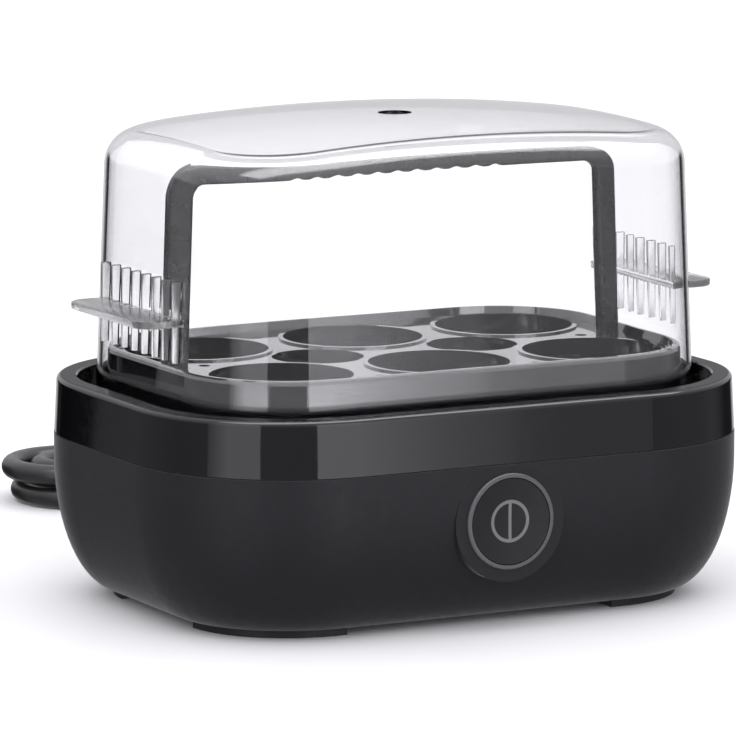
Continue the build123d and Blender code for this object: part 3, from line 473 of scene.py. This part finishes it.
def grip_pieces(side):
    """The flat lug of one end and the upright ribs through it."""
    pieces = [slab("lug", lug_plan(side), LUG_LOW, LUG_LOW + LUG_THICK, LUG_SOFT)]
    for i in range(RIBS):
        y = (i - (RIBS - 1) / 2) * RIB_PITCH
        pieces.append(slab("rib", rib_plan(side, y), RIB_LOW, RIB_HIGH, RIB_SOFT))
    return pieces


def join_grips(shell):
    """Unite the shell with both grips, and remove the loose ones."""
    grips = bpy.data.collections.new("grips")
    for side in (-1, 1):
        for piece in grip_pieces(side):
            bpy.context.scene.collection.objects.unlink(piece)
            grips.objects.link(piece)
    union = shell.modifiers.new("grips", "BOOLEAN")
    union.operation = "UNION"
    union.operand_type = "COLLECTION"
    union.collection = grips
    union.solver = "EXACT"
    settled = shell.evaluated_get(bpy.context.evaluated_depsgraph_get())
    joined = bpy.data.meshes.new_from_object(settled)
    shell.modifiers.clear()
    shell.data = joined
    for piece in list(grips.objects):
        bpy.data.objects.remove(piece)
    bpy.data.collections.remove(grips)
    joined.shade_smooth()
    joined.set_sharp_from_angle(angle=SHARP_ANGLE)
    joined.materials.clear()
    joined.materials.append(clear)


hood = hood_shell()
join_grips(hood)
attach(hood, "hood")
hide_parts("hood")

# Mains lead: one curve from the sleeve, through the folded part, to the plug
CORD_RADIUS = 3.2
HANK_X = 6.0
HANK_Y = 175.0
# Heights of the two layers, and how much the tie lifts them
LOW = 3.25
HIGH = 10.35
LIFT = 0.95
# Each run's distance from the middle line at the tie, and where a fold meets it
WAIST_IN = 3.5
WAIST_OUT = 12.5
IN = (WAIST_IN, 9.6)
OUT = (WAIST_OUT, 18.6)
WIDE = (WAIST_IN, 11.0)
ENTRY = (WAIST_OUT, 21.0)
LEFT_ENDS = (42.0, 33.6, 35.8, 44.6)
RIGHT_ENDS = (42.0, 31.6, 42.8)
WAIST_RUN = 4.5
FOLD_RUN = 3.0
FOLD_POINTS = 6
FOLD_PULL = 0.966
route = [
    (46.0, 96.0, 16.0),
    (46.0, 107.0, 16.0),
    (46.4, 119.5, 11.0),
    (45.2, 132.5, 5.2),
    (37.0, 145.5, LOW),
    (22.5, HANK_Y - ENTRY[1], LOW),
    (4.0, HANK_Y - ENTRY[1], LOW),
]


def fold(side, end, leave, arrive, z_from, z_to, run_in=True):
    """Control points of a half turn, set out a little because the curve pulls in from them."""
    turn = 1 if side > 0 else -1
    half = (leave[1] + arrive[1]) / 2
    middle = turn * (leave[1] - arrive[1]) / 2
    centre = HANK_X + side * (end - half)
    reach = half / FOLD_PULL
    if run_in:
        route.append((centre - side * FOLD_RUN, HANK_Y + turn * leave[1], z_from))
    for step in range(FOLD_POINTS):
        share = (step + 0.5) / FOLD_POINTS
        angle = math.radians(90 - 180 * share)
        route.append((
            centre + side * reach * math.cos(angle),
            HANK_Y + middle + turn * reach * math.sin(angle),
            z_from + (z_to - z_from) * share,
        ))
    route.append((centre - side * FOLD_RUN, HANK_Y - turn * arrive[1], z_to))


def waist(side, half, height):
    """Two control points where the tie draws a run in."""
    heading = -1 if side < 0 else 1
    for x in (-WAIST_RUN, WAIST_RUN):
        route.append((HANK_X + heading * x, HANK_Y + side * half, height + LIFT))


fold(-1, LEFT_ENDS[0], ENTRY, OUT, LOW, LOW, run_in=False)
waist(1, WAIST_OUT, LOW)
fold(1, RIGHT_ENDS[0], OUT, WIDE, LOW, LOW)
waist(-1, WAIST_IN, LOW)
fold(-1, LEFT_ENDS[1], IN, IN, LOW, LOW)
waist(1, WAIST_IN, LOW)
fold(1, RIGHT_ENDS[1], IN, IN, LOW, HIGH)
waist(-1, WAIST_IN, HIGH)
fold(-1, LEFT_ENDS[2], IN, IN, HIGH, HIGH)
waist(1, WAIST_IN, HIGH)
fold(1, RIGHT_ENDS[2], WIDE, OUT, HIGH, HIGH)
waist(-1, WAIST_OUT, HIGH)
fold(-1, LEFT_ENDS[3], OUT, OUT, HIGH, HIGH)
waist(1, WAIST_OUT, HIGH)
route += [
    (31.0, HANK_Y + OUT[1], HIGH),
    (48.0, HANK_Y + OUT[1], HIGH),
    (60.5, 187.5, 12.4),
    (69.0, 177.0, 15.6),
    (73.2, 164.0, 18.5),
    (73.2, 150.0, 18.5),
]
curve = bpy.data.curves.new("mains_lead", "CURVE")
curve.dimensions = "3D"
curve.bevel_depth = CORD_RADIUS * MM
curve.bevel_resolution = 7
curve.resolution_u = 10
curve.use_fill_caps = True
spline = curve.splines.new("NURBS")
spline.points.add(len(route) - 1)
for point, place in zip(spline.points, route):
    point.co = (place[0] * MM, place[1] * MM, place[2] * MM, 1.0)
spline.order_u = 3
spline.use_endpoint_u = True
lead = show("mains_lead", curve)
curve.materials.append(cord_black)
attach(lead, "base")
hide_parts("cord_lead", "cord_hank", "cord_tail")


# Floor
FLOOR_REACH = 12.0


def screen(name, corners, material):
    """A flat four-cornered sheet, in metres."""
    sheet = mesh_object(name, corners, [(0, 1, 2, 3)], unit=1.0)
    sheet.data.materials.append(material)
    return sheet


def seen_only(material, in_mirrors):
    """The material shows only in a mirror, or only outside it, and lets light through elsewhere."""
    tree = material.node_tree
    depth = add_node(tree, "LightPath").outputs["Glossy Depth"]
    mirrored = math_node(tree, "GREATER_THAN", depth, 0.5)
    solid = tree.nodes["Principled BSDF"].outputs["BSDF"]
    empty = add_node(tree, "BsdfTransparent").outputs["BSDF"]
    direct, mirror = (empty, solid) if in_mirrors else (solid, empty)
    either = add_node(tree, "MixShader", {0: mirrored, 1: direct, 2: mirror})
    feed(tree, tree.nodes["Material Output"].inputs["Surface"], either.outputs["Shader"])


floor_pale = surface("floor_pale", (0.86, 0.86, 0.865), (0.88, 0.88, 0.885), (0.55, 0.65),
                     variation=4.0, specular=0.2)
seen_only(floor_pale, in_mirrors=False)
floor = screen("floor", [
    (-FLOOR_REACH, -FLOOR_REACH, 0), (FLOOR_REACH, -FLOOR_REACH, 0),
    (FLOOR_REACH, FLOOR_REACH, 0), (-FLOOR_REACH, FLOOR_REACH, 0),
], floor_pale)
floor.visible_glossy = False

# Sky: its strength goes by heading along the horizon and by height above it, and is even far below
SKY_COLOUR = (0.97, 0.965, 1.0, 1)
# Headings run from the back (0) to the right (90); dark stretches lie left behind and at the right
LOW_SKY = [
    (-180, 0.42), (-125, 0.42), (-60, 0.3), (-25.5, 0.22), (-25.0, 0.03),
    (3, 0.03), (10, 0.75), (46, 0.75), (52, 0.03), (66, 0.03), (96, 0.3), (135, 0.4), (180, 0.42),
]
HIGH_SKY = [(0.0, 0.68), (0.1, 0.72), (0.3, 0.85), (0.6, 1.35), (1.0, 1.9)]
HORIZON_TOP = 0.06
GROUND_START = -0.25
GROUND_END = -0.5
GROUND = (0.5, 0.5, 0.5, 1)

world = bpy.data.worlds.new("studio")
world.use_nodes = True
bpy.context.scene.world = world
sky = world.node_tree
way = split(sky, add_node(sky, "TexCoord").outputs["Generated"])
heading = math_node(sky, "MULTIPLY", math_node(sky, "ARCTAN2", way["X"], way["Y"]), 180 / math.pi)
low_part = follow(sky, heading, LOW_SKY, -180, 180, interpolation="EASE")
high_part = follow(sky, way["Z"], HIGH_SKY, interpolation="EASE")
above = spread(sky, way["Z"], 0.0, 1.0, 0.0, HORIZON_TOP)
below = spread(sky, way["Z"], 0.0, 1.0, GROUND_START, GROUND_END)
strength = mix(sky, below, mix(sky, above, low_part, high_part), GROUND)
feed_all(sky, sky.nodes["Background"], {"Color": SKY_COLOUR, "Strength": strength})

# Lights
SOFTBOX_LOW = -0.4
SOFTBOX_HIGH = 0.6
SOFTBOX_COLOUR = (0.95, 0.945, 1.0)


def area_light(name, width, height, radiance):
    """A rectangular light that the camera doesn't see itself."""
    light = bpy.data.lights.new(name, "AREA")
    light.shape = "RECTANGLE"
    light.size = width
    light.size_y = height
    light.energy = radiance * math.pi * width * height
    lamp = show(name, light)
    lamp.visible_camera = False
    return lamp


def softbox(name, left_end, right_end, radiance, fade):
    """An upright light between two places on the floor plan, whose strength follows the fade."""
    start = Vector((*left_end, 0))
    span = Vector((*right_end, 0)) - start
    lamp = area_light(name, span.length, SOFTBOX_HIGH - SOFTBOX_LOW, radiance)
    lamp.location = start + span / 2 + Vector((0, 0, (SOFTBOX_LOW + SOFTBOX_HIGH) / 2))
    lamp.rotation_mode = "QUATERNION"
    lamp.rotation_quaternion = Vector((-span.y, span.x, 0)).to_track_quat("-Z", "Y")
    lamp.data.color = SOFTBOX_COLOUR
    lamp.data.use_nodes = True
    tree = lamp.data.node_tree
    step = span / span.length_squared
    spot = add_node(tree, "NewGeometry").outputs["Position"]
    along = add_node(tree, "VectorMath", {0: spot, 1: step}, operation="DOT_PRODUCT")
    share = math_node(tree, "SUBTRACT", along.outputs["Value"], start.dot(step))
    feed(tree, tree.nodes["Emission"].inputs["Strength"], follow(tree, share, fade))


softbox(
    "softbox_front", (-0.150, -1.020), (0.575, -0.955), 1.95,
    [(0.0, 1.0), (0.78, 0.95), (0.84, 0.47), (0.857, 0.4), (0.87, 0.345), (0.879, 0.31),
     (0.886, 0.18), (0.9, 0.16), (0.92, 0.12), (1.0, 0.117)],
)
softbox("softbox_left", (-0.985, -0.166), (-0.711, -0.702), 1.4, [(0.0, 0.25), (0.4, 1.0)])

# Overhead panel whose mirror image lies along the hood's round front edge
panel = area_light("panel", width=1.9, height=0.5, radiance=5.0)
panel.location = (0.05, -0.27, 1.0)
panel.visible_diffuse = False

# Dark flag that only mirrors show, behind the left end
FLAG_LEFT = (-0.3336, 0.5057)
FLAG_RIGHT = (-0.150, 0.5933)
FLAG_LOW = -0.4
FLAG_HIGH = 0.1
flag_black = surface("flag_black", (0.002, 0.002, 0.002), (0.003, 0.003, 0.003), (0.9, 1.0),
                     specular=0.0)
seen_only(flag_black, in_mirrors=True)
flag = screen("flag", [
    (*FLAG_LEFT, FLAG_LOW), (*FLAG_RIGHT, FLAG_LOW), (*FLAG_RIGHT, FLAG_HIGH), (*FLAG_LEFT, FLAG_HIGH),
], flag_black)
flag.visible_camera = False
flag.visible_diffuse = False
flag.visible_shadow = False

bpy.context.scene.view_settings.view_transform = "Standard"
